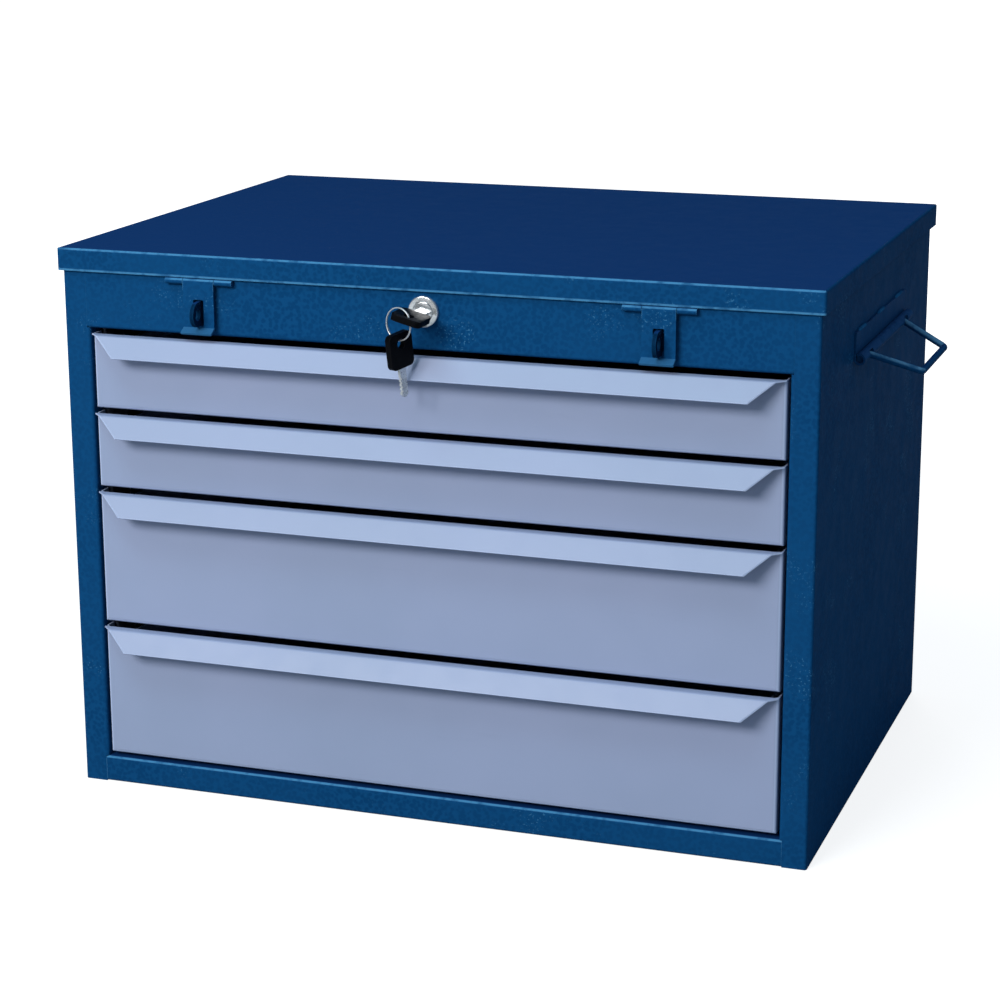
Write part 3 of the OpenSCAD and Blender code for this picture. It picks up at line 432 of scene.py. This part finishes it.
def make_blues():
    """The enamel on each kind of piece, with the wear, painted highlights, painted light and painted shade
    each kind carries, and the endings of the nodes that have it.
    """
    return {
        ("lid_shell",): blue_paint("blue_paint_lid", lid_rims, RIM_HIGHLIGHT_AND_WEAR),
        ("base_panel", "hasp_leaf", "hasp_pins"): blue_paint("blue_paint_folds", front_folds, RIM_HIGHLIGHT_AND_WEAR),
        ("hasp_strap",): blue_paint("blue_paint_strap", knuckle_and_lip, RIM_HIGHLIGHT_AND_WEAR),
        ("handle_plate",): blue_paint("blue_paint_plate", barrel, BARREL_PAINTED_LIGHT),
        ("bail",): blue_paint("blue_paint_bail", arm_tops, ARM_PAINTED_HIGHLIGHT),
        # The staple's clouds darkened as painted shade
        ("staple",): blue_paint("blue_paint_staple", scuffed_edges, WORN_SCUFF, STAPLE_SHADE),
        ("bead",): blue_paint("blue_paint_beads", broken, BEAD_PALE),
        ("",): blue_paint("blue_paint", scuffed_edges, WORN_SCUFF),
    }


def blue_for(name, blues):
    return next(material for endings, material in blues.items() if name.endswith(endings))


def dress_nodes(blues, steel):
    grey, plated, bright, plastic, slide = grey_paint(), zinc(), chrome(), key_plastic(), nylon()
    for name in nodes:
        material = blue_for(name, blues)
        if name.startswith("drawer_") and name.endswith(GREY):
            material = grey
        if any(part in name for part in ZINC):
            material = plated
        if name in ("lock_housing", "lock_plug"):
            material = bright
        if any(part in name for part in KEY_METAL):
            material = steel
        if name.endswith("key_head"):
            material = plastic
        if name.endswith("glides"):
            material = slide
        dress(name, material)


# ---------------------------------------------------------------- pieces in mesh code

BEAD_STEP = 0.5 * MM
RIPPLE_PITCH = 1.6 * MM
HANDLE_BEAD = 1.3 * MM
HANDLE_BEAD_OUT = 0.7 * MM
HANDLE_SEED, STAPLE_SEED = 11, 31
STAPLE_BEAD = 1.0 * MM
STAPLE_BEAD_SHORT = 2.5 * MM
RING_WIRE = 0.45 * MM
RING_TURNS, RING_STEPS = 2, 150
RING_START = 0.6
RING_SPREAD = 1.1


def tube(name, path, radii, sides=12, closed=False):
    """Mesh tube along points, with a radius for each point and capped ends."""
    mesh = bmesh.new()
    rings = []
    count = len(path)
    for i, point in enumerate(path):
        ahead = path[(i + 1) % count] if closed or i < count - 1 else point
        behind = path[i - 1] if closed or i > 0 else point
        along = (ahead - behind).normalized()
        across = along.cross(Vector((0.3, 0.2, 1.0))).normalized()
        other = along.cross(across).normalized()
        ring = []
        for k in range(sides):
            angle = 2 * math.pi * k / sides
            spoke = math.cos(angle) * across + math.sin(angle) * other
            ring.append(mesh.verts.new(point + radii[i] * spoke))
        rings.append(ring)
    for i in range(count if closed else count - 1):
        for k in range(sides):
            a, b = rings[i], rings[(i + 1) % count]
            mesh.faces.new((a[k], a[(k + 1) % sides], b[(k + 1) % sides], b[k]))
    if not closed:
        mesh.faces.new(list(reversed(rings[0])))
        mesh.faces.new(rings[-1])
    bmesh.ops.recalc_face_normals(mesh, faces=mesh.faces)
    data = bpy.data.meshes.new(name)
    mesh.to_mesh(data)
    mesh.free()
    for polygon in data.polygons:
        polygon.use_smooth = True
    piece = bpy.data.objects.new(name, data)
    bpy.context.scene.collection.objects.link(piece)
    return piece


def weld_bead(name, start, end, radius, seed, material):
    """Run of overlapping weld ripples between two points, thinning out at its ends."""
    chance = random.Random(seed)
    steps = max(10, int((end - start).length / BEAD_STEP))
    path, radii = [], []
    for i in range(steps + 1):
        share = i / steps
        ripple = 0.12 * math.sin(share * (end - start).length / RIPPLE_PITCH * 2 * math.pi)
        taper = min(1.0, 5 * min(share, 1 - share) + 0.35)
        path.append(start.lerp(end, share))
        radii.append(radius * taper * (1 + ripple + chance.uniform(-0.06, 0.06)))
    bead = tube(name, path, radii)
    bead.data.materials.append(material)
    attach(bead, "cabinet")


def weld_handles(material):
    """Three short beads along the upper edge of each handle plate, placed in shares of its half length."""
    places = ((-0.90, -0.62), (-0.16, 0.12), (0.58, 0.88))
    for side in ("left", "right"):
        low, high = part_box(f"{side}_handle_plate")
        outward = 1 if side == "right" else -1
        face = low.x if side == "right" else high.x
        x = face + outward * HANDLE_BEAD_OUT
        half = (high.y - low.y) / 2
        for k, (a, b) in enumerate(places):
            start, end = Vector((x, a * half, high.z)), Vector((x, b * half, high.z))
            weld_bead(f"{side}_handle_weld_{k}", start, end, HANDLE_BEAD, HANDLE_SEED + k, material)


def weld_staples(material):
    """Fillet beads where each staple plate stands on the band."""
    for side in ("left", "right"):
        low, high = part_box(f"{side}_staple")
        for k, x in enumerate((low.x, high.x)):
            start = Vector((x, high.y, low.z + STAPLE_BEAD_SHORT))
            end = Vector((x, high.y, high.z - STAPLE_BEAD_SHORT))
            weld_bead(f"{side}_staple_weld_{k}", start, end, STAPLE_BEAD, STAPLE_SEED + k, material)


def split_ring(material):
    """Two-turn split ring in place of the plain ring, round the ring's own centre."""
    swing = next(joint for joint in frame["joints"] if joint["name"] == "ring_swing")
    middle = Vector(swing["pos_m"])
    normal = Vector(swing["axis"])
    up = Vector((0, 0, 1))
    ahead = up.cross(normal)
    low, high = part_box("key_ring")
    radius = (high.z - low.z) / 2 - RING_WIRE
    path = []
    for i in range(RING_STEPS + 1):
        share = i / RING_STEPS
        angle = 2 * math.pi * RING_TURNS * share + RING_START
        drift = (share - 0.5) * RING_SPREAD * 2 * RING_WIRE
        spoke = math.cos(angle) * ahead + math.sin(angle) * up
        path.append(middle + radius * spoke + drift * normal)
    ring = tube("split_ring", path, [RING_WIRE] * len(path))
    ring.data.materials.append(material)
    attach(ring, "key_ring")
    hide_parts("key_ring")


# ---------------------------------------------------------------- stage and light


FLOOR_SIZE = 16.0
FLOOR_DROP = 0.4 * MM
FLOOR_COLOUR = (0.34, 0.34, 0.34, 1)
FLOOR_FADE = (0.45, 2.2)
FLOOR_NEAR, FLOOR_FAR = 0.84, 1.02
AMBIENT, AMBIENT_IN_GLOSS = 0.38, 0.10
AMBIENT_COLOUR = (0.55, 0.78, 1.0, 1)
FRONT, ABOVE, BEHIND = 72.0, 20.5, 34.0
NEUTRAL, COOL, WARM = (1.0, 1.0, 1.0), (0.62, 0.90, 1.0), (1.0, 0.99, 0.97)


def path_switch(tree, ray):
    """1 for one kind of ray, else 0."""
    return tree.nodes.new("ShaderNodeLightPath").outputs[ray]


def mapped(tree, value, source, target):
    node = tree.nodes.new("ShaderNodeMapRange")
    for key, number in zip((1, 2, 3, 4), (*source, *target)):
        node.inputs[key].default_value = number
    tree.links.new(value, node.inputs["Value"])
    return node.outputs["Result"]


def make_floor():
    """Pale floor that keeps a soft shadow near the object and is white to the camera farther out."""
    mesh = bpy.data.meshes.new("floor")
    signs = ((-1, -1), (1, -1), (1, 1), (-1, 1))
    corners = [(FLOOR_SIZE * x, FLOOR_SIZE * y, 0) for x, y in signs]
    mesh.from_pydata(corners, [], [(0, 1, 2, 3)])
    floor = bpy.data.objects.new("floor", mesh)
    floor.location.z = -FLOOR_DROP
    bpy.context.scene.collection.objects.link(floor)
    material = bpy.data.materials.new("pale_floor")
    material.use_nodes = True
    tree = material.node_tree
    tree.nodes.clear()
    output = tree.nodes.new("ShaderNodeOutputMaterial")
    diffuse = tree.nodes.new("ShaderNodeBsdfDiffuse")
    diffuse.inputs["Color"].default_value = FLOOR_COLOUR
    glow = tree.nodes.new("ShaderNodeEmission")
    place = tree.nodes.new("ShaderNodeTexCoord")
    away = tree.nodes.new("ShaderNodeVectorMath")
    away.operation = "LENGTH"
    tree.links.new(place.outputs["Object"], away.inputs[0])
    white = mapped(tree, away.outputs["Value"], FLOOR_FADE, (FLOOR_NEAR, FLOOR_FAR))
    strength = tree.nodes.new("ShaderNodeMath")
    strength.operation = "MULTIPLY"
    tree.links.new(path_switch(tree, "Is Camera Ray"), strength.inputs[0])
    tree.links.new(white, strength.inputs[1])
    tree.links.new(strength.outputs[0], glow.inputs["Strength"])
    both = tree.nodes.new("ShaderNodeAddShader")
    tree.links.new(diffuse.outputs[0], both.inputs[0])
    tree.links.new(glow.outputs[0], both.inputs[1])
    tree.links.new(both.outputs[0], output.inputs["Surface"])
    mesh.materials.append(material)


def make_world():
    """White to the camera, a dim bluish light for matt surfaces and dimmer still in reflections."""
    world = bpy.data.worlds.new("world")
    bpy.context.scene.world = world
    world.use_nodes = True
    tree = world.node_tree
    background = tree.nodes["Background"]
    camera_ray = path_switch(tree, "Is Camera Ray")
    tint = tree.nodes.new("ShaderNodeMix")
    tint.data_type = "RGBA"
    tree.links.new(camera_ray, tint.inputs["Factor"])
    pale, white = [socket for socket in tint.inputs if socket.type == "RGBA"]
    pale.default_value, white.default_value = AMBIENT_COLOUR, (1, 1, 1, 1)
    tinted = [socket for socket in tint.outputs if socket.type == "RGBA"][0]
    tree.links.new(tinted, background.inputs["Color"])
    dim = mapped(tree, path_switch(tree, "Is Glossy Ray"), (0, 1), (AMBIENT, AMBIENT_IN_GLOSS))
    strength = tree.nodes.new("ShaderNodeMath")
    strength.operation = "MAXIMUM"
    tree.links.new(camera_ray, strength.inputs[0])
    tree.links.new(dim, strength.inputs[1])
    tree.links.new(strength.outputs[0], background.inputs["Strength"])


def area_light(name, place, target, size, energy, colour):
    data = bpy.data.lights.new(name, "AREA")
    data.shape = "RECTANGLE"
    data.size, data.size_y = size
    data.energy = energy
    data.color = colour
    light = bpy.data.objects.new(name, data)
    light.location = place
    aim = Vector(target) - Vector(place)
    light.rotation_euler = aim.to_track_quat("-Z", "Y").to_euler()
    bpy.context.scene.collection.objects.link(light)
    return light


def make_lights():
    area_light("front", (-0.9, -2.7, 1.75), (0, -0.1, 0.22), (1.6, 0.9), FRONT, NEUTRAL)
    area_light("above", (-0.5, -1.2, 2.5), (0, -0.1, 0.25), (1.8, 0.8), ABOVE, COOL)
    behind = area_light("behind", (-0.5, 2.8, 1.0), (0, 0.1, 0.22), (1.6, 1.0), BEHIND, WARM)
    behind.visible_glossy = False  # it would lie as a glare on the lid


make_camera()
blues, wire_steel = make_blues(), key_steel()
dress_nodes(blues, wire_steel)
weld_handles(blue_for("bead", blues))
weld_staples(blue_for("staple", blues))
split_ring(wire_steel)
make_floor()
make_world()
make_lights()
bpy.context.scene.view_settings.view_transform = "Standard"
